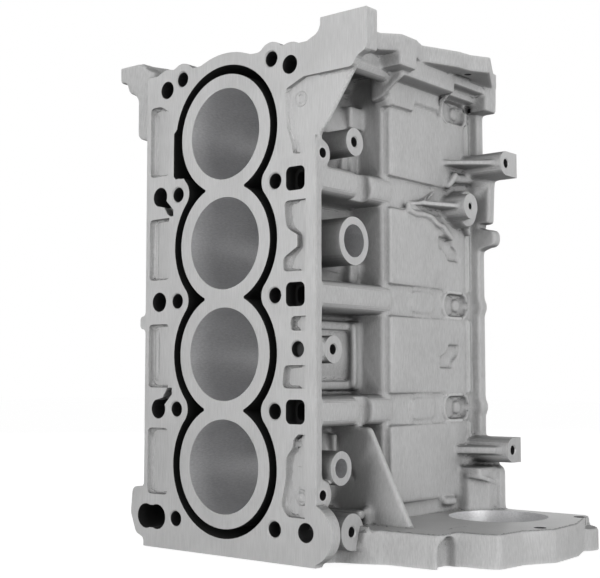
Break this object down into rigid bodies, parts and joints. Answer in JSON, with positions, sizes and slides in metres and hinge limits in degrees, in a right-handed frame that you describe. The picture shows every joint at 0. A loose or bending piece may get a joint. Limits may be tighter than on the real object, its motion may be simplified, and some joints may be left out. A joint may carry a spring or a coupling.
{
  "type": "engine block",
  "caption": "Aluminium block of a water-cooled inline engine: open-deck bores in a jacket, ribbed side with bosses and arms, crankcase below and a wide rear flange.",
  "frame": {"origin": "axis of the crankshaft at the rear face", "axes": "+Z along the crankshaft from the rear face to the front face, +Y from the head deck to the pan rail, +X to the side with the mounting arms"},
  "size_m": [0.4048, 0.25, 0.445],
  "materials": {
    "casting": "fine cast skin with milled faces"
  },
  "bodies": {
    "root": {"engine_block": "casting"}
  },
  "joints": []
}
